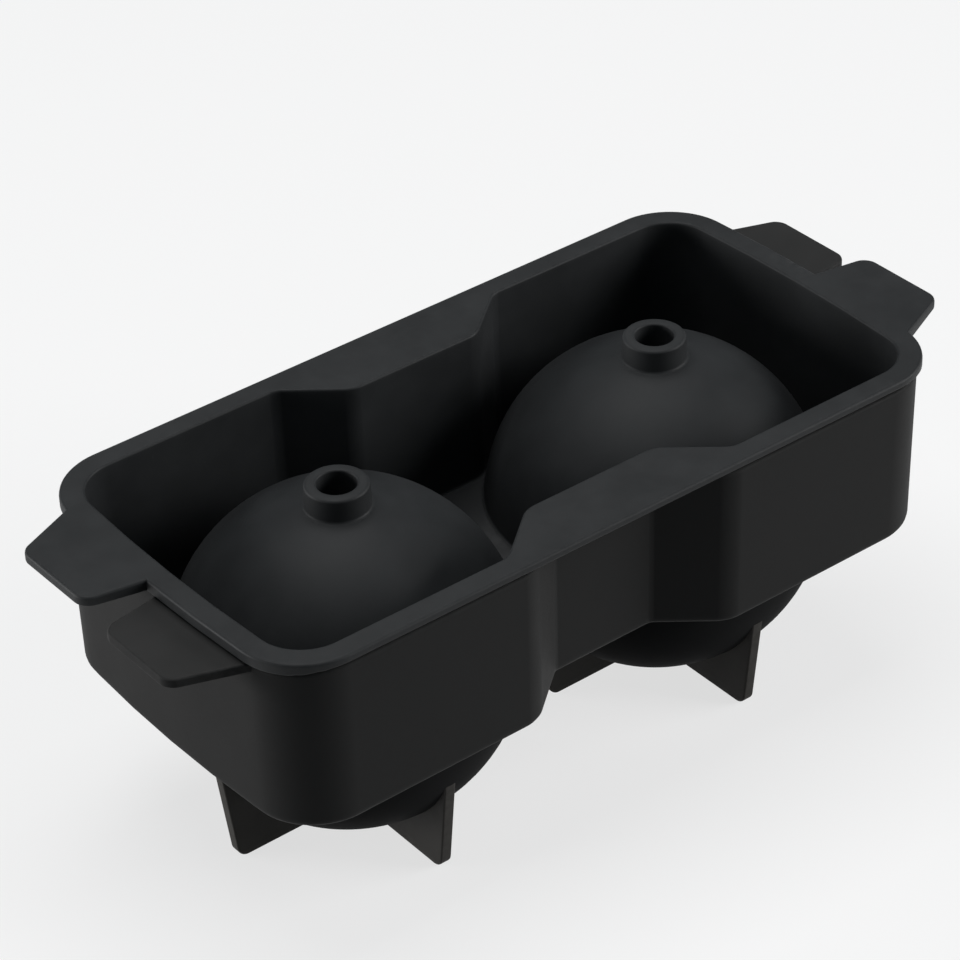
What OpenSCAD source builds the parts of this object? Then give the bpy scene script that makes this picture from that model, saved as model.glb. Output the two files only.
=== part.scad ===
// Two-part rubber mould for two ice balls.
// The lower half is a waisted tray that carries two half-ball cups on crossed fins.
// The upper half nests in that tray and carries two half-ball domes with filling spouts.
// Origin: on the table, midway between the balls. +X runs along the tray and +Z points up.

/* [Ice balls] */
// Diameter of each ice ball
ball_d = 63.5; // [58:0.5:70]
// Wall of the domes and the cups around each ball
shell_t = 2; // [1.6:0.1:2.6]
// Distance between the two balls
ball_gap = 12.5; // [11:0.5:20]
// Height of the cups' lowest point above the table
cup_lift = 1.25; // [0.5:0.25:4]

/* [Tray] */
// Room between a dome and the long wall beside it
side_room = 1.65; // [1.6:0.05:6]
// Room between a dome and the end wall
end_room = 2.95; // [2:0.05:8]
// How far each end wall bows out at its middle
end_bow = 2; // [1:0.25:5]
// Corner radius of the opening
corner_r = 9.2; // [7:0.1:14]
// Height of the rim above the top of the domes
rim_over_dome = 1.75; // [0:0.25:6]
// Wall of the upper half
upper_wall = 1.8; // [1.4:0.1:2.4]
// Wall of the lower half
lower_wall = 1.9; // [1.4:0.1:2.4]
// Floor of each half
floor_t = 2; // [1.6:0.1:3]
// Lean of every tray wall, in degrees
draft = 0.7; // [0.4:0.1:0.9]
// Radius along the bottom edge of the lower half
heel_r = 1.6; // [1:0.1:2]
// Radius between a floor and the wall that rises from it
floor_fillet = 0.6; // [0.3:0.1:0.6]

/* [Waist] */
// Length of the flat middle of the waist
waist_flat = 23.2; // [16:0.2:26]
// Length of each slanted wall beside it, along X
waist_run = 11.6; // [9:0.2:13]
// How far the waist is pinched in on each side
waist_depth = 9.5; // [5:0.25:10.5]
// Radius where a long wall turns into the waist, inside the opening
shoulder_r = 3.2; // [2.4:0.1:5]
// Radius in the corners of the waist, outside the lower half
pinch_r = 1.8; // [1.2:0.1:4]

/* [Rim] */
// Thickness of the rim
rim_t = 2.4; // [2:0.1:4]
// How far the rim stands out past the lower half's wall
rim_overhang = 0.8; // [0.5:0.1:3]
// Radius along the rim's outer edges
rim_edge_r = 0.7; // [0.3:0.05:0.9]
// Radius along the edge of the opening
lip_r = 0.5; // [0.2:0.05:0.8]

/* [Fit of the two halves] */
// Gap between the walls of the two halves
nest_gap = 0.3; // [0.2:0.05:0.5]
// Radius along the bottom edge of the upper half
nest_edge_r = 1.2; // [0.9:0.1:1.4]
// Gap between the rim and the top of the lower half's wall
rim_gap = 0.4; // [0.3:0.1:1]
// Radius along the top of the lower half's wall
brim_r = 0.4; // [0.2:0.05:0.6]
// Radius of the round bead that seals each ball cavity
bead_r = 0.7; // [0.5:0.1:0.9]
// Distance from the ball's edge to the middle of the bead
bead_inset = 2; // [1.6:0.1:2.2]
// Gap between the bead and its groove
bead_gap = 0.3; // [0.1:0.05:0.4]

/* [Filling spouts] */
// Radius of the filling bore
bore_r = 3.85; // [3:0.05:5]
// Wall of the spout at its mouth
spout_wall = 2.3; // [1.8:0.1:3]
// How much wider the spout is at its foot, in radius
spout_flare = 0.2; // [0.1:0.05:0.5]
// Height of the spout above the top of the dome
spout_h = 4.25; // [3:0.25:8]
// Radius along the spout's outer top edge
mouth_r = 0.6; // [0.3:0.1:0.9]
// Radius along the bore's top edge
lead_r = 0.4; // [0.2:0.1:0.6]
// Radius between the spout and the dome
spout_root_r = 1; // [0.5:0.1:1.5]
// Radius between a dome or cup and the floor that carries it
skirt_r = 0.5; // [0.2:0.1:0.5]

/* [Feet] */
// How far each fin's tip on the table stays inside the cup's outer radius
fin_inset = 5.55; // [4:0.05:12]
// Thickness of each fin
fin_t = 2.5; // [2:0.1:4]
// Outward lean of a fin's outer edge, in degrees
fin_lean = 7; // [3:0.5:8]
// Radius of a fin's outer corner on the table
fin_tip_r = 2.4; // [1:0.1:4]

/* [Pull tabs] */
// Reach of a tab past the middle of the rim's end
tab_reach = 12; // [8:0.5:16]
// Thickness of a tab
tab_t = 2; // [1.5:0.1:2.2]
// Distance of a tab's root from the middle of the end
tab_start = 0.6; // [0.3:0.1:2]
// Width of a tab at its root
tab_root = 27.8; // [24:0.2:30]
// Width of a tab at its outer end
tab_end = 20; // [14:0.2:22]
// How far the outer end's inner corner stands back from the root's
tab_skew = 2.2; // [0:0.2:4]
// Radius of a tab's outer corners
tab_r = 3.2; // [2:0.1:5]

/* [Hidden] */
$fn = 96;
// Overrun of a cut past the face that it opens
over = 1;
// Steps along the end bow, a corner, a turn of the waist and a small rounding
end_steps = 3;
corner_steps = 8;
turn_steps = 4;
round_steps = 3;

// Heights, up from the table
ball_r = ball_d / 2;
shell_r = ball_r + shell_t;
ball_x = (ball_d + ball_gap) / 2;
parting_z = cup_lift + shell_r;
upper_floor = parting_z + floor_t;
lower_under = parting_z - floor_t;
rim_top = parting_z + shell_r + rim_over_dome;
rim_under = rim_top - rim_t;
wall_top = rim_under - rim_gap;

// Distances outward from the edge of the opening
nest_out = upper_wall + nest_gap;
shell_out = nest_out + lower_wall;
rim_out = shell_out + rim_overhang;

// Half width of the opening, and its half length at the middle of an end
open_w = shell_r + side_room;
open_l = ball_x + shell_r + end_room;

// The bowed end is one long arc, and the corner rolls between it and the long wall
bow_r = (pow(open_w, 2) + pow(end_bow, 2)) / (2 * end_bow);
bow_x = open_l - bow_r;
corner_y = open_w - corner_r;
corner_x = bow_x + sqrt(pow(bow_r - corner_r, 2) - pow(corner_y, 2));
bow_turn = atan2(corner_y, corner_x - bow_x);

// The waist turns in and back by one angle, round centres inside and outside the opening
waist_turn = atan(waist_depth / waist_run);
shoulder_x = waist_flat / 2 + waist_run + shoulder_r * tan(waist_turn / 2);
pinch_open_r = pinch_r + shell_out;
pinch_x = waist_flat / 2 - pinch_open_r * tan(waist_turn / 2);

// Points along an arc
function arc(centre, r, from, to, steps) =
    [for (i = [0:steps])
        let (a = from + (to - from) * i / steps)
        centre + r * [cos(a), sin(a)]];

// Points of a rounded corner at p, on the way from a to b
function unit(v) = v / norm(v);
function heading(v) = atan2(v[1], v[0]);
function rounded(a, p, b, r, steps) =
    let (u = unit(a - p),
         v = unit(b - p),
         half = acos(u * v) / 2,
         centre = p + unit(u + v) * r / sin(half),
         start = heading(p + u * r / tan(half) - centre),
         turn = heading(p + v * r / tan(half) - centre) - start)
    arc(centre, r, start, start + turn - 360 * round(turn / 360), steps);

// Outline at a distance "out" from the opening's edge. The waist is pinched in, or runs straight
function waist(out, pinched) =
    let (shoulder = arc([shoulder_x, open_w - shoulder_r], shoulder_r + out,
                        90, 90 + waist_turn, turn_steps),
         pinch = arc([pinch_x, open_w - waist_depth + pinch_open_r], pinch_open_r - out,
                     waist_turn - 90, -90, turn_steps))
    [for (p = concat(shoulder, pinch)) [p[0], pinched ? p[1] : open_w + out]];
function bow(out) =
    [for (i = [0:end_steps - 1]) [bow_x, 0] + (bow_r + out)
        * [cos(bow_turn * i / end_steps), sin(bow_turn * i / end_steps)]];
function corner(out) = arc([corner_x, corner_y], corner_r + out, bow_turn, 90, corner_steps);
function turned(points) = [for (i = [len(points) - 1:-1:0]) points[i]];
function outline(out, pinched) =
    let (quarter = concat(bow(out), corner(out), waist(out, pinched)),
         half = concat(turned([for (p = quarter) [-p[0], p[1]]]),
                       [for (i = [1:len(quarter) - 1]) -quarter[i]]))
    concat(half, -half);

// Faces that close a ring. Each runs straight across it, so none leaves the pinched outline
function across(first, sides) =
    let (half = sides / 2, tip = (half - 1) / 2)
    concat([[first, first + half - 1, first + half, first + sides - 1]],
           [for (start = [first, first + half]) for (i = [start:start + tip - 1])
               let (mirrored = 2 * start + half - 1 - i)
               i < start + tip - 1 ? [i, i + 1, mirrored - 1, mirrored] : [i, i + 1, mirrored]]);

// A solid skinned through rings of [height, distance out, pinched]. A loop joins the last ring to
// the first, and otherwise both are closed by a face
module loft(rings, loop = false) {
    sides = len(outline(0, true));
    count = len(rings);
    points = [for (ring = rings) for (p = outline(ring[1], ring[2])) [p[0], p[1], ring[0]]];
    skin = [for (k = [0:count - (loop ? 1 : 2)]) for (i = [0:sides - 1])
        let (j = (i + 1) % sides,
             low = k * sides,
             high = ((k + 1) % count) * sides)
        [low + j, low + i, high + i, high + j]];
    top = (count - 1) * sides;
    ends = concat(across(0, sides), [for (face = across(top, sides)) turned(face)]);
    polyhedron(points = points, faces = loop ? skin : concat(ends, skin), convexity = 10);
}

// How far a leaning wall has come in, at a height
function lean(z) = (rim_top - z) * tan(draft);

// Rings round an edge or a fillet, about a point at a height and a distance out
function edge(z, out, r, from, to, pinched = true) =
    [for (p = arc([out, z], r, from, to, round_steps)) [p[1], p[0], pinched]];

// The upper half's flat rim: straight outside and pinched inside
module upper_rim() {
    color("#39393b") {
        loft(concat([[rim_under, -lean(rim_under), true]],
                    edge(rim_under + rim_edge_r, rim_out - rim_edge_r, rim_edge_r, -90, 0, false),
                    edge(rim_top - rim_edge_r, rim_out - rim_edge_r, rim_edge_r, 0, 90, false),
                    edge(rim_top - lip_r, lip_r, lip_r, 90, 180)), loop = true);
        tabs(rim_top, rim_out - rim_edge_r, -1);
    }
}

// The upper half's wall and floor, with the ball cavities and the grooves for the beads
module upper_tray() {
    color("#303032") difference() {
        loft(concat(edge(parting_z + nest_edge_r, upper_wall - lean(parting_z) - nest_edge_r,
                         nest_edge_r, -90, 0),
                    [[rim_under, upper_wall - lean(rim_under), true],
                     [rim_under, -lean(rim_under), true]],
                    edge(upper_floor + floor_fillet, -lean(upper_floor) - floor_fillet,
                         floor_fillet, 0, -90)));
        at_balls() {
            sphere(ball_r);
            bead_ring(bead_r + bead_gap);
        }
    }
}

// The lower half's wall and floor, with the beads round the ball cavities and two pull tabs
module lower_tray() {
    color("#2c2b2b") {
        difference() {
            loft(concat(edge(lower_under + heel_r, shell_out - lean(lower_under) - heel_r,
                             heel_r, -90, 0),
                        edge(wall_top - brim_r, shell_out - lean(wall_top) - brim_r,
                             brim_r, 0, 90),
                        edge(wall_top - brim_r, nest_out - lean(wall_top) + brim_r,
                             brim_r, 90, 180),
                        edge(parting_z + floor_fillet, nest_out - lean(parting_z) - floor_fillet,
                             floor_fillet, 0, -90)));
            at_balls() sphere(ball_r);
        }
        at_balls() bead_ring(bead_r);
        tabs(wall_top, shell_out - lower_wall / 2, 1);
    }
}

module at_balls() {
    for (side = [-1, 1]) translate([side * ball_x, 0, parting_z]) children();
}

module bead_ring(r) {
    rotate_extrude() translate([ball_r + bead_inset, 0]) circle(r);
}

// X of the end wall's outline at a height y up from the middle of the end
function end_x(y, out) =
    y < (bow_r + out) * sin(bow_turn)
        ? bow_x + sqrt(pow(bow_r + out, 2) - pow(y, 2))
        : corner_x + sqrt(pow(corner_r + out, 2) - pow(y - corner_y, 2));

// A pull tab at each end, half a turn apart, rooted at a distance out from the opening
module tabs(top, root_out, hand) {
    tab_x = open_l + rim_out + tab_reach;
    root = [for (y = [tab_start, tab_start + tab_root]) [end_x(y, root_out), y]];
    tip = [for (y = [tab_skew, tab_skew + tab_end]) [tab_x, tab_start + y]];
    plan = concat([root[0]],
                  rounded(root[0], tip[0], tip[1], tab_r, corner_steps),
                  rounded(tip[0], tip[1], root[1], tab_r, corner_steps),
                  [root[1]]);
    for (turn = [0, 180])
        rotate([0, 0, turn]) translate([0, 0, top - tab_t])
            linear_extrude(tab_t) polygon(hand > 0 ? plan : turned([for (p = plan) [p[0], -p[1]]]));
}

// Profiles below lie in radius and height about the ball's centre

// A fillet from a round of radius shell_r onto the floor above or below it
module skirt(side) {
    foot_x = sqrt(pow(shell_r + skirt_r, 2) - pow(floor_t + skirt_r, 2));
    centre = [foot_x, side * (floor_t + skirt_r)];
    difference() {
        polygon([[ball_r + shell_t / 2, side * floor_t], [foot_x, side * floor_t],
                 centre, centre * (ball_r + shell_t / 2) / (shell_r + skirt_r)]);
        translate(centre) circle(skirt_r);
    }
}

// The wall of a dome (side 1) or a cup (side -1), from its floor to its pole
module half_shell(side) {
    rotate_extrude() difference() {
        intersection() {
            circle(shell_r);
            translate([0, side > 0 ? floor_t : -shell_r]) square([shell_r, shell_r - floor_t]);
        }
        circle(ball_r);
    }
    rotate_extrude() skirt(side);
}

// The spout, solid so far, with a rounded mouth and a slight flare
spout_top = shell_r + spout_h;
foot_r = bore_r + spout_wall + spout_flare;
root_z = sqrt(pow(shell_r + spout_root_r, 2) - pow(foot_r + spout_root_r, 2));

module spout() {
    polygon(concat([[0, ball_r - shell_t], [foot_r, ball_r - shell_t], [foot_r, root_z]],
                   arc([bore_r + spout_wall - mouth_r, spout_top - mouth_r], mouth_r,
                       0, 90, round_steps),
                   [[0, spout_top]]));
}

module spout_root() {
    centre = [foot_r + spout_root_r, root_z];
    difference() {
        polygon([[foot_r - spout_wall / 2, root_z], [foot_r - spout_wall / 2, ball_r],
                 centre * (ball_r + shell_t / 2) / (shell_r + spout_root_r), centre]);
        translate(centre) circle(spout_root_r);
    }
}

// The bore, wider at its rounded top edge
module bore() {
    polygon(concat([[0, 0], [bore_r, 0]],
                   arc([bore_r + lead_r, spout_top - lead_r], lead_r, 180, 90, round_steps),
                   [[bore_r + lead_r, spout_top + over], [0, spout_top + over]]));
}

module dome() {
    difference() {
        union() {
            half_shell(1);
            rotate_extrude() spout();
            rotate_extrude() spout_root();
        }
        sphere(ball_r);
        rotate_extrude() bore();
    }
}

module left_dome() {
    color("#3b3c3f") translate([-ball_x, 0, parting_z]) dome();
}

module right_dome() {
    color("#3b3c3f") translate([ball_x, 0, parting_z]) dome();
}

module left_cup() {
    color("#272628") translate([-ball_x, 0, parting_z]) half_shell(-1);
}

module right_cup() {
    color("#272628") translate([ball_x, 0, parting_z]) half_shell(-1);
}

// A fin's outer edge leans out until it runs into the middle of the cup's wall, or else up to the
// floor: its height there is the lower root of a square of the height
fin_reach = shell_r - fin_inset;
fin_slope = tan(fin_lean);
fin_square = 1 + pow(fin_slope, 2);
fin_half = parting_z - fin_reach * fin_slope;
fin_rest = pow(fin_reach, 2) + pow(parting_z, 2) - pow(ball_r + shell_t / 2, 2);
fin_meet = pow(fin_half, 2) - fin_square * fin_rest;
fin_top = fin_meet < 0 ? lower_under
                       : min(lower_under, (fin_half - sqrt(fin_meet)) / fin_square);

// Two crossed plates under a cup, cut to its round, each the width of two fins
module feet() {
    top = [fin_reach + fin_top * fin_slope, fin_top];
    fin = concat([top], rounded(top, [fin_reach, 0], [0, 0], fin_tip_r, corner_steps));
    plate = concat(fin, turned([for (p = fin) [-p[0], p[1]]]));
    difference() {
        for (turn = [0, 90])
            rotate([90, 0, turn]) translate([0, 0, -fin_t / 2]) linear_extrude(fin_t) polygon(plate);
        translate([0, 0, parting_z]) sphere(shell_r);
    }
}

module left_feet() {
    color("#2b2927") translate([-ball_x, 0, 0]) feet();
}

module right_feet() {
    color("#2b2927") translate([ball_x, 0, 0]) feet();
}

upper_rim();
upper_tray();
left_dome();
right_dome();
lower_tray();
left_cup();
right_cup();
left_feet();
right_feet();
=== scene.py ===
import math
import bmesh
import bpy
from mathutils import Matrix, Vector


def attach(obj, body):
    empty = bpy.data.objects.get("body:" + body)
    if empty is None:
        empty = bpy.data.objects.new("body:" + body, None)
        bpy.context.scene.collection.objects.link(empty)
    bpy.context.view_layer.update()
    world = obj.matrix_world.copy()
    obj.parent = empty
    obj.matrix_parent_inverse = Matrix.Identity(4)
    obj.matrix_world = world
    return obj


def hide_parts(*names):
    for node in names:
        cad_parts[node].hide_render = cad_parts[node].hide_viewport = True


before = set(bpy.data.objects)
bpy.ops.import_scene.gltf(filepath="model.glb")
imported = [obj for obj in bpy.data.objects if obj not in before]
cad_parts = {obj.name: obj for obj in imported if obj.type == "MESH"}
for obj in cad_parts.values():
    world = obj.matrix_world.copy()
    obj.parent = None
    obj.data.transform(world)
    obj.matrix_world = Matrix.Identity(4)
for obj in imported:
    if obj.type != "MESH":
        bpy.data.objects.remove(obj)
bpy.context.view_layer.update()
bpy.ops.object.select_all(action="DESELECT")


# Lid: rim, wall and floor
# One moulding of black silicone rubber: a flat rim with two pull tabs in its plane, and a waisted
# well that hangs from it. The well's walls lean in a little towards its floor.

# Heights, in metres from the table
rim_z = 0.0705
rim_under_z = 0.0681
lid_tab_under_z = 0.0685
lid_floor_z = 0.0370
parting_z = 0.0350

# The opening's half length and half width, the rim round it, and the lean from rim to floor
open_l = 0.0727
open_w = 0.0354
end_bow = ((0, 0.0020), (1, 0.00178), (2, 0.00111))
rim_width = 0.0048
rim_edge_y = 0.0402
lid_wall = 0.0018
lid_lean = (0.99451, 0.98842, 1)

# The waist runs straight to waist_flat_x, then slants out to waist_end_x. Its corners shift along the
# mould by waist_shift for each metre that the outline grows.
waist_flat_x = 0.0116
waist_end_x = 0.0232
waist_depth = 0.0095
waist_slope = 0.819
waist_shift = 0.3573

# A tab runs from its start to its root's far side, and narrows towards its tip. Each of its corners
# has its place across the tab and the length that its round takes back.
tab_tip_x = 0.0915
tab_reach = 0.0120
tab_start_y = 0.0006
tab_root_y = 0.0284
tab_taper = 20 / 27.8
tab_skew = 0.0022
tab_corners = ((0.0028, 0.0027), (0.0228, 0.0021))

# Each ball's middle lies this far from the mould's. A cavity has this radius, with a shell round it.
ball_x = 0.038
cavity_r = 0.03175
shell_r = 0.03375
groove_r = 0.001

# How close a point counts as level, and as met by a cut
near = 4e-5
met = 1e-6


def pick_points(test):
    """Selects the points of the piece being shaped that pass a test of their place."""
    shape = bmesh.from_edit_mesh(bpy.context.edit_object.data)
    bpy.ops.mesh.select_mode(type="VERT")
    for point in shape.verts:
        point.select_set(bool(test(point.co)))
    shape.select_flush_mode()
    bmesh.update_edit_mesh(bpy.context.edit_object.data)


def pick_edges(test, sharp=False):
    """Selects the edges whose two ends pass a test, or of those only the sharp ones."""
    shape = bmesh.from_edit_mesh(bpy.context.edit_object.data)
    shape.normal_update()
    bpy.ops.mesh.select_mode(type="EDGE")
    bpy.ops.mesh.select_all(action="DESELECT")
    for edge in shape.edges:
        if not sharp or edge.calc_face_angle(0) > 0.6:
            edge.select_set(bool(test(edge.verts[0].co, edge.verts[1].co)))
    bmesh.update_edit_mesh(bpy.context.edit_object.data)


def pick_faces(test):
    """Selects the faces that pass a test of their middle and their normal."""
    shape = bmesh.from_edit_mesh(bpy.context.edit_object.data)
    bpy.ops.mesh.select_mode(type="FACE")
    bpy.ops.mesh.select_all(action="DESELECT")
    for face in shape.faces:
        face.select_set(bool(test(face.calc_center_median(), face.normal)))
    bmesh.update_edit_mesh(bpy.context.edit_object.data)


def level(z):
    """A test for edges that lie at one height."""
    return lambda a, b: abs(a.z - z) < near and abs(b.z - z) < near


def upright_wall(middle, normal):
    """A test for the large faces of the walls."""
    return abs(normal.z) < 0.1 and 0.045 < middle.z < 0.060


def hem(test):
    """A narrow ring of faces just inside the border of a face keeps the pale edge, partly wear and partly
    painted highlight, to its edge.
    """
    pick_faces(test)
    bpy.ops.mesh.inset(thickness=0.0007, use_even_offset=True)


def flatten(z):
    """Brings the selected points to one height."""
    bpy.ops.transform.resize(value=(1, 1, 0), center_override=(0, 0, z))


def start_piece(name):
    """The new primitive gets the piece's name and is opened for shaping."""
    piece = bpy.context.object
    piece.name = piece.data.name = name
    bpy.ops.object.transform_apply(location=True, rotation=True, scale=True)
    bpy.ops.object.mode_set(mode="EDIT")
    return piece


def thicken(piece, wall):
    """The sheet gets its wall on its outer side and stays open for shaping."""
    bpy.ops.object.mode_set(mode="OBJECT")
    skin = piece.modifiers.new("wall", "SOLIDIFY")
    skin.thickness = wall
    skin.offset = -1
    skin.use_even_offset = True
    bpy.ops.object.modifier_apply(modifier="wall")
    bpy.ops.object.mode_set(mode="EDIT")


def combine(piece, other, operation):
    """Takes the other solid out of the piece, or adds it, and throws the other away."""
    bpy.ops.object.select_all(action="DESELECT")
    bpy.context.view_layer.objects.active = piece
    step = piece.modifiers.new("step", "BOOLEAN")
    step.operation = operation
    step.solver = "EXACT"
    step.object = other
    bpy.ops.object.modifier_apply(modifier="step")
    bpy.data.objects.remove(other)


def smooth_finish(piece):
    """Moulded faces shade smoothly and the flat ones stay flat."""
    bpy.ops.object.select_all(action="DESELECT")
    bpy.context.view_layer.objects.active = piece
    piece.select_set(True)
    bpy.ops.object.shade_smooth_by_angle(angle=math.radians(36))
    evened = piece.modifiers.new("evened", "WEIGHTED_NORMAL")
    evened.keep_sharp = True
    bpy.ops.object.modifier_apply(modifier="evened")
    bpy.ops.object.select_all(action="DESELECT")


def waisted_sheet(name, height, out):
    """A flat sheet cut to the opening's outline, "out" bigger all round: bowed ends, round corners
    and a waist pinched in on both sides. It stays open for shaping."""
    long, wide = open_l + out, open_w + out
    shift = waist_shift * out
    bpy.ops.object.select_all(action="DESELECT")
    bpy.ops.mesh.primitive_plane_add(size=1, location=(0, 0, height))
    bpy.context.object.scale = (2 * long, 2 * wide, 1)
    piece = start_piece(name)
    for cut in (waist_flat_x + shift, waist_end_x + shift):
        for side in (-1, 1):
            bpy.ops.mesh.select_all(action="SELECT")
            bpy.ops.mesh.bisect(threshold=met, plane_co=(side * cut, 0, height), plane_no=(1, 0, 0))
    # Each end is cut in six and bowed out, most in its middle
    end = long - 0.0007
    pick_edges(lambda a, b: abs(a.x) > end and abs(b.x) > end and a.x * b.x > 0)
    bpy.ops.mesh.subdivide(number_cuts=5, ngon=True)
    for side in (-1, 1):
        for place, bow in end_bow:
            pick_points(lambda p: p.x * side > end and abs(abs(p.y) - place * wide / 3) < 0.001)
            bpy.ops.transform.translate(value=(side * bow, 0, 0))
    for side in (-1, 1):
        pick_points(lambda p: abs(p.x) < waist_flat_x + 0.0001 + shift and p.y * side > 0)
        bpy.ops.transform.translate(value=(0, -side * waist_depth, 0))
    pick_edges(lambda a, b: abs(a.x - b.x) < 1e-5 and abs(a.x) < 0.03)
    bpy.ops.mesh.dissolve_edges(use_verts=False)
    # The rounds: the mould's four corners, then the waist's outer and inner ones
    for x, y, back, steps in ((long, wide, 0.0084 + 0.91 * out, 16),
                              (waist_end_x + shift, wide, 0.00114 + shift, 6),
                              (waist_flat_x + shift, wide - waist_depth, 0.00207 - shift, 6)):
        pick_points(lambda p: math.hypot(abs(p.x) - x, abs(p.y) - y) < 1e-4)
        bpy.ops.mesh.bevel(offset=back, segments=steps, affect="VERTICES")
    return piece


def ball(name, radius, side):
    """A round at one of the two cavities, open for shaping."""
    bpy.ops.object.select_all(action="DESELECT")
    bpy.ops.mesh.primitive_uv_sphere_add(segments=96, ring_count=48, radius=radius,
                                         location=(side * ball_x, 0, parting_z))
    return start_piece(name)


def cut_cavity(piece, side):
    """Takes one ball's cavity out of a floor."""
    cavity = ball("cavity", cavity_r, side)
    bpy.ops.object.mode_set(mode="OBJECT")
    combine(piece, cavity, "DIFFERENCE")


def add_cord_ring(radius, side):
    """A ring of round section about one cavity, at the parting: a sealing bead, or a bead's groove."""
    bpy.ops.mesh.primitive_torus_add(major_radius=shell_r, minor_radius=radius, major_segments=96,
                                     minor_segments=16, location=(side * ball_x, 0, parting_z))


def round_tab_corners(end, across):
    """Rounds the tip of the tab at one end that lies to one side, each given as -1 or 1."""
    for corner, back in tab_corners:
        pick_points(lambda p: p.x * end > tab_tip_x - 0.0001 and abs(p.y * across - corner) < 1e-4)
        bpy.ops.mesh.bevel(offset=back, segments=8, affect="VERTICES")


def on_rim_edge(p):
    """Whether a point lies at the rim's outer edge or on a tab."""
    return abs(p.x) > 0.0770 or abs(p.y) > 0.0385 or abs(p.x) + abs(p.y) > 0.107


# The rim is the sheet's border, and its outer edge runs straight past the waist
lid_body = waisted_sheet("lid_body", rim_z, rim_width)
pick_faces(lambda c, n: True)
bpy.ops.mesh.inset(thickness=rim_width, use_even_offset=True)
mid_rim_y = 0.0283
for side in (-1, 1):
    pick_points(lambda p: abs(p.x) < 0.0300 and side * p.y > mid_rim_y
                + min(max(abs(p.x) - waist_flat_x, 0) * waist_slope, waist_depth))
    bpy.ops.transform.resize(value=(1, 0, 1), center_override=(0, side * rim_edge_y, rim_z))

# A pull tab at each end, half a turn apart: the rim's edge drawn out, narrowed and rounded
for side in (-1, 1):
    for root in (tab_start_y, tab_root_y):
        pick_faces(lambda c, n: c.x * side > 0.060 and abs(c.y) < 0.036)
        bpy.ops.mesh.bisect(threshold=met, plane_co=(0, -side * root, rim_z), plane_no=(0, 1, 0))
    pick_edges(lambda a, b: all(p.x * side > 0.0770 and 0.0005 < -side * p.y < 0.0285 for p in (a, b)))
    bpy.ops.mesh.extrude_region_move(TRANSFORM_OT_translate={"value": (side * tab_reach, 0, 0)})
    bpy.ops.transform.resize(value=(0, 1, 1), center_override=(side * tab_tip_x, 0, rim_z))
    bpy.ops.transform.resize(value=(1, tab_taper, 1), center_override=(0, -side * tab_start_y, rim_z))
    bpy.ops.transform.translate(value=(0, -side * tab_skew, 0))
    pick_points(lambda p: p.x * side > tab_tip_x - 0.0001 and 0.0029 < -side * p.y < 0.0227)
    bpy.ops.mesh.dissolve_verts()
    round_tab_corners(side, -side)

# The well is pressed down from the opening to the floor, leaning in
pick_faces(lambda c, n: abs(c.x) < 0.002 and abs(c.y) < 0.002)
bpy.ops.mesh.extrude_region_move(TRANSFORM_OT_translate={"value": (0, 0, lid_floor_z - rim_z)})
bpy.ops.transform.resize(value=lid_lean, center_override=(0, 0, lid_floor_z))

# The wall's thickness is right as it comes. The undersides of rim, floor and tabs are then set.
thicken(lid_body, lid_wall)
for low, high, under in ((0.0684, 0.0690, rim_under_z), (0.0350, 0.0354, parting_z)):
    pick_points(lambda p: low < p.z < high)
    flatten(under)
pick_points(lambda p: abs(p.x) > 0.0815 and p.z < 0.0690)
flatten(lid_tab_under_z)

# Rounds along the heel, the floor and the opening
for height, rounding, steps in ((parting_z, 0.0012, 4), (lid_floor_z, 0.0006, 3)):
    pick_edges(level(height), sharp=True)
    bpy.ops.mesh.bevel(offset=rounding, segments=steps)
pick_edges(lambda a, b: level(rim_z)(a, b) and all(abs(p.x) < 0.0748 and abs(p.y) < 0.0355
                                                   for p in (a, b)), sharp=True)
bpy.ops.mesh.bevel(offset=0.0005, segments=3)

# Along both sides the rim lifts towards its lower edge, so a fine dark gap shows above the tray
for reach, rise in ((0.0401, 0.0009), (0.0396, 0.0008), (0.0386, 0.0006), (0.0376, 0.0004),
                    (0.0364, 0.0002)):
    pick_points(lambda p: reach < abs(p.y) < reach + 0.0012 and abs(p.x) < 0.0790
                and on_rim_edge(p) and abs(p.z - rim_under_z) < near)
    bpy.ops.transform.translate(value=(0, 0, rise))
for low, high, rounding in ((0.0700, 0.0710, 0.0006), (0.0680, 0.0692, 0.0003)):
    pick_edges(lambda a, b: all(on_rim_edge(p) and low < p.z < high for p in (a, b)), sharp=True)
    bpy.ops.mesh.bevel(offset=rounding, segments=3)
hem(upright_wall)
bpy.ops.object.mode_set(mode="OBJECT")

# The ball cavities, and a round groove beside each for the sealing bead below it
for side in (-1, 1):
    cut_cavity(lid_body, side)
    add_cord_ring(groove_r, side)
    combine(lid_body, bpy.context.object, "DIFFERENCE")
smooth_finish(lid_body)

# The rubber's finish is matt, with a fine grain, soft lighter clouds as handling leaves them, a
# little lint, dust settled on what lies flat, and edges painted slightly pale: partly wear, partly a
# painted highlight.
finish = bpy.data.node_groups.new("silicone_skin", "ShaderNodeTree")
# The third colour is both the dust's and that of the pale edges, which are partly a painted highlight
for socket, kind, value in (("Rubber", "NodeSocketColor", (0.02, 0.02, 0.02, 1)),
                            ("Bloom", "NodeSocketColor", (0.06, 0.06, 0.06, 1)),
                            ("Dust, wear and edge highlight", "NodeSocketColor", (0.08, 0.08, 0.08, 1)),
                            ("Dust", "NodeSocketFloat", 0.1),
                            ("Matt", "NodeSocketFloat", 0.6)):
    made = finish.interface.new_socket(name=socket, in_out="INPUT", socket_type=kind)
    made.default_value = value
for socket, kind in (("Colour", "NodeSocketColor"),
                     ("Roughness", "NodeSocketFloat"),
                     ("Height", "NodeSocketFloat")):
    finish.interface.new_socket(name=socket, in_out="OUTPUT", socket_type=kind)


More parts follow.
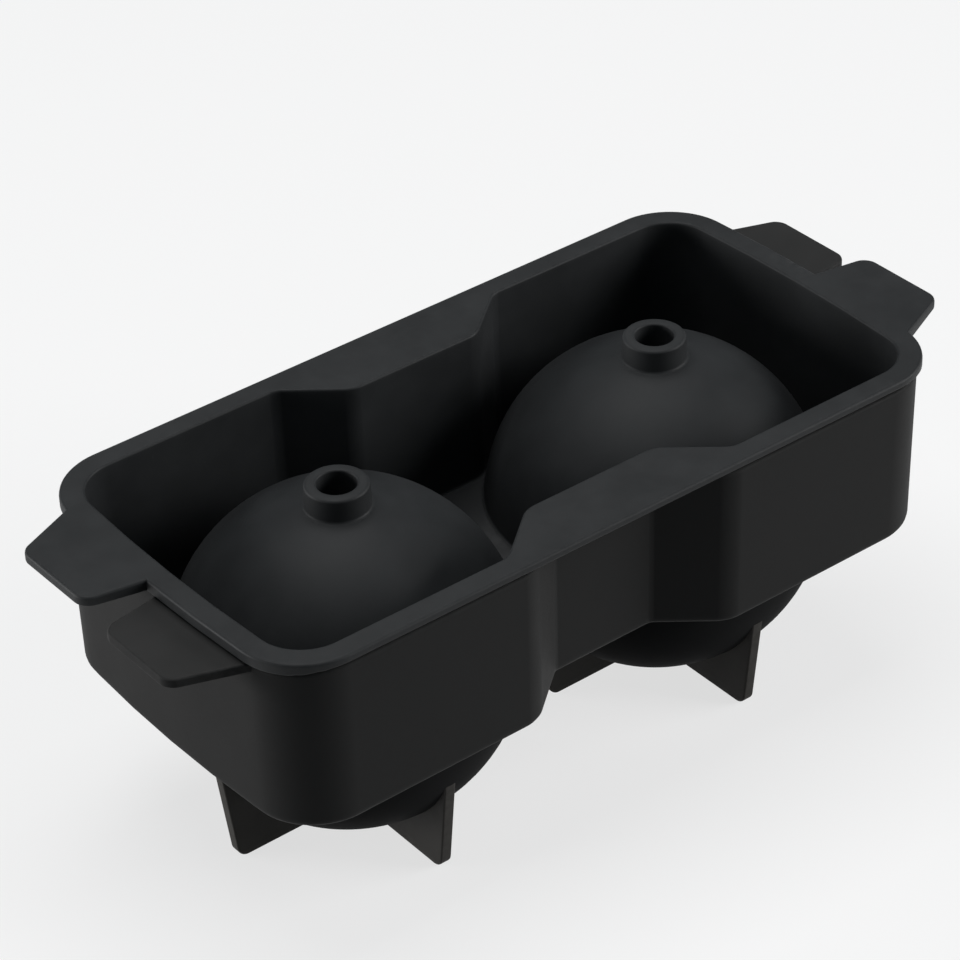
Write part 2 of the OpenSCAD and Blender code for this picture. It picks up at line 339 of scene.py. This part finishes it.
def node(tree, kind, values=None, **settings):
    """A node with its settings, and values or links for its sockets by number or name."""
    made = tree.nodes.new(kind)
    for setting, value in settings.items():
        setattr(made, setting, value)
    for socket, value in (values or {}).items():
        if isinstance(value, bpy.types.NodeSocket):
            tree.links.new(value, made.inputs[socket])
        else:
            made.inputs[socket].default_value = value
    return made


def math_node(tree, operation, a, b, clamp=False):
    """The result of one sum."""
    return node(tree, "ShaderNodeMath", {0: a, 1: b}, operation=operation, use_clamp=clamp).outputs[0]


def mix_colour(tree, share, a, b):
    """Colour a, with that share of colour b."""
    return node(tree, "ShaderNodeMix", {0: share, 6: a, 7: b}, data_type="RGBA").outputs[2]


def times(a, b, clamp=False):
    """A product in the finish."""
    return math_node(finish, "MULTIPLY", a, b, clamp)


def plus(a, b):
    """A sum in the finish."""
    return math_node(finish, "ADD", a, b)


def ramp(value, low, high):
    """Rises from 0 to 1 as the value goes from low to high."""
    return node(finish, "ShaderNodeMapRange", {"Value": value, 1: low, 2: high}).outputs[0]


def noise(scale, detail, roughness=0.5):
    """Noise at the place on the piece, with so many spots to a metre."""
    return node(finish, "ShaderNodeTexNoise", {"Vector": place, "Scale": scale, "Detail": detail,
                                               "Roughness": roughness}).outputs["Fac"]


given = node(finish, "NodeGroupInput").outputs
place = node(finish, "ShaderNodeTexCoord").outputs["Object"]

# Broad clouds with smaller ones in them
clouds = plus(times(noise(36.0, 4.0, 0.55), 0.55), times(noise(125.0, 5.0, 0.6), 0.45))
clouds = ramp(clouds, 0.40, 0.66)
colour = mix_colour(finish, times(clouds, 0.26), given["Rubber"], given["Bloom"])

# Specks of lint, only here and there
specks = node(finish, "ShaderNodeTexVoronoi", {"Vector": place, "Scale": 330.0}).outputs["Distance"]
lint = times(ramp(specks, 0.075, 0.03), ramp(noise(95.0, 1.0), 0.60, 0.66))
colour = mix_colour(finish, times(lint, 0.5), colour, given["Bloom"])

# Dust on what faces straight up, thicker in the clouds
upward = node(finish, "ShaderNodeTexCoord").outputs["Normal"]
upward = node(finish, "ShaderNodeSeparateXYZ", {0: upward}).outputs[2]
settled = times(ramp(upward, 0.982, 0.999), plus(times(clouds, 0.4), 0.8))
colour = mix_colour(finish, times(settled, given["Dust"], clamp=True), colour, given["Dust, wear and edge highlight"])

# Pale outer edges, broken up: partly wear, partly a painted highlight along the edges
bend = node(finish, "ShaderNodeNewGeometry").outputs["Pointiness"]
broken = ramp(noise(520.0, 3.0, 0.6), 0.36, 0.62)
edge_highlight_and_wear = times(ramp(bend, 0.515, 0.60), times(broken, 0.25))
colour = mix_colour(finish, edge_highlight_and_wear, colour, given["Dust, wear and edge highlight"])

# A fine grain over a softer unevenness, in the height and a little in the roughness
grain = noise(2600.0, 2.0)
peel = noise(420.0, 2.0)
height = plus(times(grain, 0.35), peel)
roughness = given["Matt"]
for pattern, share in ((clouds, 0.10), (grain, 0.12)):
    roughness = plus(roughness, times(math_node(finish, "SUBTRACT", pattern, 0.5), share))
node(finish, "NodeGroupOutput", {"Colour": colour, "Roughness": roughness, "Height": height})


def silicone(name, rubber, bloom, dust_wear_and_edge_highlight, dust, matt, gloss):
    """One rubber, with its own colours, dust, roughness and sheen."""
    made = bpy.data.materials.new(name)
    made.use_nodes = True
    tree = made.node_tree
    skin = tree.nodes.new("ShaderNodeGroup")
    skin.node_tree = finish
    for socket, value in (("Rubber", rubber), ("Bloom", bloom), ("Dust, wear and edge highlight", dust_wear_and_edge_highlight)):
        skin.inputs[socket].default_value = (*value, 1)
    skin.inputs["Dust"].default_value = dust
    skin.inputs["Matt"].default_value = matt
    shader = tree.nodes["Principled BSDF"]
    shader.inputs["IOR"].default_value = 1.41
    shader.inputs["Specular IOR Level"].default_value = gloss
    tree.links.new(skin.outputs["Colour"], shader.inputs["Base Color"])
    tree.links.new(skin.outputs["Roughness"], shader.inputs["Roughness"])
    bump = node(tree, "ShaderNodeBump", {"Strength": 0.25, "Distance": 0.00006,
                                         "Height": skin.outputs["Height"]})
    tree.links.new(bump.outputs["Normal"], shader.inputs["Normal"])
    return made


def coat(piece, rubber):
    """The piece is all of one rubber."""
    piece.data.materials.clear()
    piece.data.materials.append(rubber)


lid_rubber = silicone("lid_rubber", rubber=(0.0184, 0.0194, 0.0203), bloom=(0.044, 0.047, 0.049),
                      dust_wear_and_edge_highlight=(0.080, 0.080, 0.080), dust=0.10, matt=0.57, gloss=0.24)
coat(lid_body, lid_rubber)
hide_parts("upper_rim", "upper_tray")
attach(lid_body, "upper_half")


# Lid domes
# The upper half of each ball, moulded in one with the lid's floor: a 2 mm shell of the same rubber
# that ends in a filling spout with a round bore.

# The shell's radius where it meets the floor, its foot, and how far the foot is sunk into the floor
skirt_r = 0.03369
foot_ratio = 34.25 / 33.69
foot_sunk = 0.0003

# The spout: where it leaves the shell, where its bore leaves the cavity, and its radii
spout_root_z = 0.068147
bore_end_z = 0.066516
spout_z = 0.073
spout_root_r = 0.00635
spout_r = 0.00615
bore_r = 0.00385


def slice_at(z, keep, fill=False):
    """Cuts the piece at a height and keeps what lies "above" or "below" it."""
    bpy.ops.mesh.select_all(action="SELECT")
    bpy.ops.mesh.bisect(threshold=met, plane_co=(0, 0, z), plane_no=(0, 0, 1), use_fill=fill,
                        clear_inner=keep == "above", clear_outer=keep == "below")


def draw_on(rise=0.0, ratio=None):
    """Draws the selected ring on: up by "rise", then wider or narrower about the left ball."""
    bpy.ops.mesh.extrude_region_move(TRANSFORM_OT_translate={"value": (0, 0, rise)})
    if ratio:
        bpy.ops.transform.resize(value=(ratio, ratio, 1), center_override=(-ball_x, 0, 0))


def join(piece, others):
    """Joins the others into the piece."""
    for part in (*others, piece):
        part.select_set(True)
    bpy.context.view_layer.objects.active = piece
    bpy.ops.object.join()


def close_foot(foot_z, floor_z):
    """Joins the lining's border to the foot's, and turns all faces outward."""
    pick_edges(lambda a, b: (level(foot_z)(a, b) or level(floor_z)(a, b)
                             and math.hypot(a.x + ball_x, a.y) < 0.0320))
    bpy.ops.mesh.bridge_edge_loops()
    bpy.ops.mesh.select_all(action="SELECT")
    bpy.ops.mesh.normals_make_consistent(inside=False)


def ring(radius, z):
    """A test for the edges of one ring about the left ball's axis."""
    return lambda a, b: all(abs(p.z - z) < 3e-5 and abs(math.hypot(p.x + ball_x, p.y) - radius) < 1e-4
                            for p in (a, b))


def second(piece, name):
    """The same piece for the right ball, with its own mesh."""
    copy = piece.copy()
    copy.data = piece.data.copy()
    bpy.context.scene.collection.objects.link(copy)
    copy.name = copy.data.name = name
    bpy.ops.object.select_all(action="DESELECT")
    bpy.context.view_layer.objects.active = copy
    copy.select_set(True)
    bpy.ops.transform.translate(value=(2 * ball_x, 0, 0))
    bpy.ops.object.transform_apply(location=True, rotation=True, scale=True)
    return copy


left_lid_dome = ball("left_lid_dome", shell_r, -1)
slice_at(lid_floor_z, keep="above")
slice_at(spout_root_z, keep="below")
# The foot runs out along the floor, and is sunk a little into it
pick_edges(level(lid_floor_z))
draw_on(ratio=foot_ratio)
draw_on(rise=-foot_sunk)
# The spout is drawn up from the top, a little narrower at its mouth, then in and down its bore
pick_edges(level(spout_root_z))
draw_on(rise=spout_z - spout_root_z, ratio=spout_r / spout_root_r)
draw_on(ratio=bore_r / spout_r)
draw_on(rise=bore_end_z - spout_z)
bpy.ops.object.mode_set(mode="OBJECT")
# The inner round, joined to the bore above and to the foot below
lining = ball("lining", cavity_r, -1)
slice_at(lid_floor_z, keep="above")
slice_at(bore_end_z, keep="below")
bpy.ops.object.mode_set(mode="OBJECT")
join(left_lid_dome, [lining])
bpy.ops.object.mode_set(mode="EDIT")
pick_points(lambda p: abs(p.z - bore_end_z) < near and math.hypot(p.x + ball_x, p.y) < 0.0040)
bpy.ops.mesh.remove_doubles(threshold=0.0001)
close_foot(lid_floor_z - foot_sunk, lid_floor_z)
for radius, z, rounding in ((skirt_r, lid_floor_z, 0.0005), (spout_root_r, spout_root_z, 0.0005),
                            (spout_r, spout_z, 0.0006), (bore_r, spout_z, 0.0004)):
    pick_edges(ring(radius, z))
    bpy.ops.mesh.bevel(offset=rounding, segments=4)
bpy.ops.object.mode_set(mode="OBJECT")
smooth_finish(left_lid_dome)
right_lid_dome = second(left_lid_dome, "right_lid_dome")
for dome, solid in ((left_lid_dome, "left_dome"), (right_lid_dome, "right_dome")):
    coat(dome, lid_rubber)
    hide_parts(solid)
    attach(dome, "upper_half")


# Tray: wall, floor, beads and pull tabs
# The lower moulding, of the same black rubber. The lid nests in it, and its rim ends just above
# this wall. Two pull tabs stand out under the lid's, on the other side of each end.

tray_z = 0.0677
tray_under_z = 0.0330
tray_inside = 0.00207
tray_wall = 0.0019
tray_lean = (0.99479, 0.98933, 1)
bead_r = 0.0007
bead_cut_z = 0.0349
tab_t = 0.0020
tab_middle = (0.0844, 0.0145)
tab_size = (0.0142, 0.0278, 1)
tab_back = 0.0009

tray_body = waisted_sheet("tray_body", tray_z, tray_inside)
pick_faces(lambda c, n: True)
bpy.ops.mesh.extrude_region_move(TRANSFORM_OT_translate={"value": (0, 0, parting_z - tray_z)})
bpy.ops.transform.resize(value=tray_lean, center_override=(0, 0, parting_z))
pick_faces(lambda c, n: c.z > tray_z - 0.0001)
bpy.ops.mesh.delete(type="ONLY_FACE")
bpy.ops.mesh.select_all(action="SELECT")
bpy.ops.mesh.normals_make_consistent(inside=True)
thicken(tray_body, tray_wall)
pick_points(lambda p: p.z < 0.0333)
flatten(tray_under_z)
# Rounds along the heel, the floor and the lip
for height, rounding, steps in ((tray_under_z, 0.0016, 4), (parting_z, 0.0006, 3), (tray_z, 0.0008, 4)):
    pick_edges(level(height), sharp=True)
    bpy.ops.mesh.bevel(offset=rounding, segments=steps)
hem(upright_wall)
bpy.ops.object.mode_set(mode="OBJECT")
for side in (-1, 1):
    cut_cavity(tray_body, side)
smooth_finish(tray_body)

# Half-round beads on the floor seal each ball against the lid
trimmings = []
for side in (-1, 1):
    add_cord_ring(bead_r, side)
    bead = start_piece("bead")
    slice_at(bead_cut_z, keep="above")
    slice_at(bead_cut_z, keep="above", fill=True)
    bpy.ops.object.mode_set(mode="OBJECT")
    smooth_finish(bead)
    trimmings.append(bead)

# The tabs start inside the wall, flush with its top
for side in (-1, 1):
    bpy.ops.mesh.primitive_plane_add(size=1, location=(side * tab_middle[0], side * tab_middle[1], tray_z))
    bpy.context.object.scale = tab_size
    tab = start_piece("tab")
    pick_points(lambda p: p.x * side > 0.090)
    bpy.ops.transform.resize(value=(1, tab_taper, 1), center_override=(0, side * tab_start_y, tray_z))
    bpy.ops.transform.translate(value=(0, side * tab_skew, 0))
    pick_points(lambda p: p.x * side < 0.080 and p.y * side > 0.020)
    bpy.ops.transform.translate(value=(-side * tab_back, 0, 0))
    round_tab_corners(side, side)
    thicken(tab, tab_t)
    pick_edges(lambda a, b: abs(a.z - b.z) < 1e-5 and max(a.x * side, b.x * side) > 0.0785, sharp=True)
    bpy.ops.mesh.bevel(offset=0.00045, segments=3)
    hem(lambda c, n: abs(n.z) > 0.9999)
    bpy.ops.object.mode_set(mode="OBJECT")
    smooth_finish(tab)
    trimmings.append(tab)
join(tray_body, trimmings)
# Lighter than the lid's rubber, though it is the same: painted light on the tray's walls
tray_rubber = silicone("tray_rubber", rubber=(0.0245, 0.0244, 0.0242), bloom=(0.036, 0.036, 0.036),
                       dust_wear_and_edge_highlight=(0.080, 0.079, 0.077), dust=0.12, matt=0.60, gloss=0.07)
coat(tray_body, tray_rubber)
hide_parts("lower_tray")
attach(tray_body, "lower_half")


# Cups
# The lower half of each ball, a 2 mm shell moulded in one with the tray and hung under its floor.
# The cups are a little duller, and their rubber is painted darker than the walls' as painted shade under
# the tray.

left_cup_shell = ball("left_cup_shell", shell_r, -1)
slice_at(tray_under_z, keep="below")
pick_edges(level(tray_under_z))
draw_on(ratio=foot_ratio)
draw_on(rise=foot_sunk)
bpy.ops.object.mode_set(mode="OBJECT")
lining = ball("lining", cavity_r, -1)
slice_at(tray_under_z, keep="below")
bpy.ops.object.mode_set(mode="OBJECT")
join(left_cup_shell, [lining])
bpy.ops.object.mode_set(mode="EDIT")
close_foot(tray_under_z + foot_sunk, tray_under_z)
pick_edges(ring(skirt_r, tray_under_z))
bpy.ops.mesh.bevel(offset=0.0005, segments=4)
bpy.ops.object.mode_set(mode="OBJECT")
smooth_finish(left_cup_shell)
right_cup_shell = second(left_cup_shell, "right_cup_shell")
# Darker than the walls' rubber, though it is the same: painted shade under the tray
shaded_cup_rubber = silicone("shaded_cup_rubber", rubber=(0.0160, 0.0162, 0.0165), bloom=(0.027, 0.027, 0.028),
                      dust_wear_and_edge_highlight=(0.050, 0.050, 0.050), dust=0.0, matt=0.66, gloss=0.015)
for cup, solid in ((left_cup_shell, "left_cup"), (right_cup_shell, "right_cup")):
    coat(cup, shaded_cup_rubber)
    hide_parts(solid)
    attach(cup, "lower_half")


# Fins
# Two crossed plates under each cup, moulded in one with it, hold the mould level on the table.
# Their outer edges lean out up to the cup, and their corners on the table are round. Their rubber is
# a little browner than the rest, and painted paler as painted light for their place under the cups.

fin_l = 0.0282
fin_h = 0.0280
fin_t = 0.0025
fin_lean = 0.12278
fin_cut_r = 0.0330


def fin_plate(turn):
    """One plate, standing on the table, before the round of the cup is cut from it."""
    bpy.ops.object.select_all(action="DESELECT")
    bpy.ops.mesh.primitive_plane_add(size=1, rotation=(math.radians(90), 0, 0))
    bpy.context.object.scale = (2 * fin_l, fin_h, 1)
    bpy.context.object.location = (0, 0, fin_h / 2)
    plate = start_piece("plate")
    pick_points(lambda p: p.z > 0.020)
    bpy.ops.transform.resize(value=((fin_l + fin_h * fin_lean) / fin_l, 1, 1), center_override=(0, 0, 0))
    pick_points(lambda p: p.z < 0.001)
    bpy.ops.mesh.bevel(offset=0.00212, segments=8, affect="VERTICES")
    # Moved off here and brought back to the middle below. Without this the cup's round, when it is
    # cut out, leaves slightly other points where it touches the plate.
    bpy.ops.mesh.select_all(action="SELECT")
    bpy.ops.transform.translate(value=(0, fin_t / 2, 0))
    thicken(plate, fin_t)
    bpy.ops.mesh.select_all(action="SELECT")
    bpy.ops.mesh.normals_make_consistent(inside=False)
    middle_y = sum(v.co.y for v in bmesh.from_edit_mesh(plate.data).verts) / len(plate.data.vertices)
    bpy.ops.transform.translate(value=(0, -middle_y, 0))
    pick_edges(lambda a, b: max(a.z, b.z) < fin_h - 0.0001 or abs(a.z - b.z) > 0.01, sharp=True)
    bpy.ops.mesh.bevel(offset=0.00035, segments=3)
    hem(lambda c, n: abs(n.y) > 0.9999)
    if turn:
        bpy.ops.mesh.select_all(action="SELECT")
        bpy.ops.transform.rotate(value=math.radians(90), orient_axis="Z", center_override=(0, 0, 0))
    bpy.ops.object.mode_set(mode="OBJECT")
    return plate


left_fins = fin_plate(turn=False)
left_fins.name = left_fins.data.name = "left_fins"
across = fin_plate(turn=True)
for plate in (left_fins, across):
    bpy.ops.mesh.primitive_uv_sphere_add(segments=96, ring_count=48, radius=fin_cut_r,
                                         location=(0, 0, parting_z))
    combine(plate, bpy.context.object, "DIFFERENCE")
combine(left_fins, across, "UNION")
left_fins.select_set(True)
bpy.ops.transform.translate(value=(-ball_x, 0, 0))
bpy.ops.object.transform_apply(location=True, rotation=True, scale=True)
smooth_finish(left_fins)
right_fins = second(left_fins, "right_fins")
# Paler than the rest: painted light under the cups, over a browner tint of the fins' own
lit_fin_rubber = silicone("lit_fin_rubber", rubber=(0.0300, 0.0278, 0.0250), bloom=(0.040, 0.038, 0.035),
                      dust_wear_and_edge_highlight=(0.085, 0.081, 0.075), dust=0.0, matt=0.56, gloss=0.17)
for fins, solid in ((left_fins, "left_feet"), (right_fins, "right_feet")):
    coat(fins, lit_fin_rubber)
    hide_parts(solid)
    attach(fins, "lower_half")


# Room
# A plain white floor under soft studio light, and the camera where the photograph was taken from.

white = (1, 1, 1, 1)
pale_wall = (0.90, 0.90, 0.90, 1)
dim_room = (0.050, 0.066, 0.075, 1)
pale_paper = (0.80, 0.80, 0.80, 1)
dim_paper = (0.18, 0.18, 0.18, 1)
paper_glow = 0.7

bpy.ops.mesh.primitive_plane_add(size=8, location=(0, 0, 0))
floor = bpy.context.object
floor.name = "floor"
paper = bpy.data.materials.new("white_paper")
paper.use_nodes = True
tree = paper.node_tree
sheet = tree.nodes["Principled BSDF"]
sheet.inputs["Roughness"].default_value = 0.45
# The paper is white to the eye and in reflections, and throws little light up at the mould
path = node(tree, "ShaderNodeLightPath")
seen = math_node(tree, "MAXIMUM", path.outputs["Is Camera Ray"], path.outputs["Is Glossy Ray"])
seen = math_node(tree, "MAXIMUM", seen, path.outputs["Is Transmission Ray"])
tree.links.new(mix_colour(tree, seen, dim_paper, pale_paper), sheet.inputs["Base Color"])
glow = node(tree, "ShaderNodeEmission", {"Color": white, "Strength": 1.0})
glowing = math_node(tree, "MULTIPLY", seen, paper_glow)
blended = node(tree, "ShaderNodeMixShader", {0: glowing, 1: sheet.outputs[0], 2: glow.outputs[0]})
# Seen from below, the paper isn't there, so that the fins and cups show
below = node(tree, "ShaderNodeNewGeometry").outputs["Backfacing"]
clear = node(tree, "ShaderNodeBsdfTransparent")
blended = node(tree, "ShaderNodeMixShader", {0: below, 1: blended.outputs[0], 2: clear.outputs[0]})
tree.links.new(blended.outputs[0], tree.nodes["Material Output"].inputs["Surface"])
floor.data.materials.append(paper)

world = bpy.data.worlds.new("studio")
bpy.context.scene.world = world
world.use_nodes = True
tree = world.node_tree
path = node(tree, "ShaderNodeLightPath")
tone = mix_colour(tree, path.outputs["Is Camera Ray"], dim_room, pale_wall)
tree.links.new(tone, tree.nodes["Background"].inputs["Color"])

# Each lamp's name, place, the point it faces, its size in metres and its power in watts
for name, place, aim, size, power in (("over", (0.0, 0.22, 1.10), (0, 0, 0.05), (0.9, 0.7), 8.0),
                                      ("left", (-0.80, 0.63, 0.17), (0, 0, 0.04), (0.7, 0.3), 7.8),
                                      ("right", (0.82, -0.64, 0.42), (0, 0, 0.04), (0.7, 0.5), 9.2)):
    bpy.ops.object.light_add(type="AREA", location=place)
    lamp = bpy.context.object
    lamp.name = name
    lamp.rotation_euler = (Vector(aim) - Vector(place)).to_track_quat("-Z", "Y").to_euler()
    lamp.data.shape = "RECTANGLE"
    lamp.data.size, lamp.data.size_y = size
    lamp.data.energy = power

bpy.ops.object.camera_add(location=(-0.34048, -0.44008, 0.44097),
                          rotation=(math.radians(55.336), math.radians(1.663), math.radians(-38.446)))
camera = bpy.context.object
camera.data.lens = 133.965
camera.data.sensor_width = 36
bpy.context.scene.camera = camera
bpy.context.scene.view_settings.view_transform = "Standard"
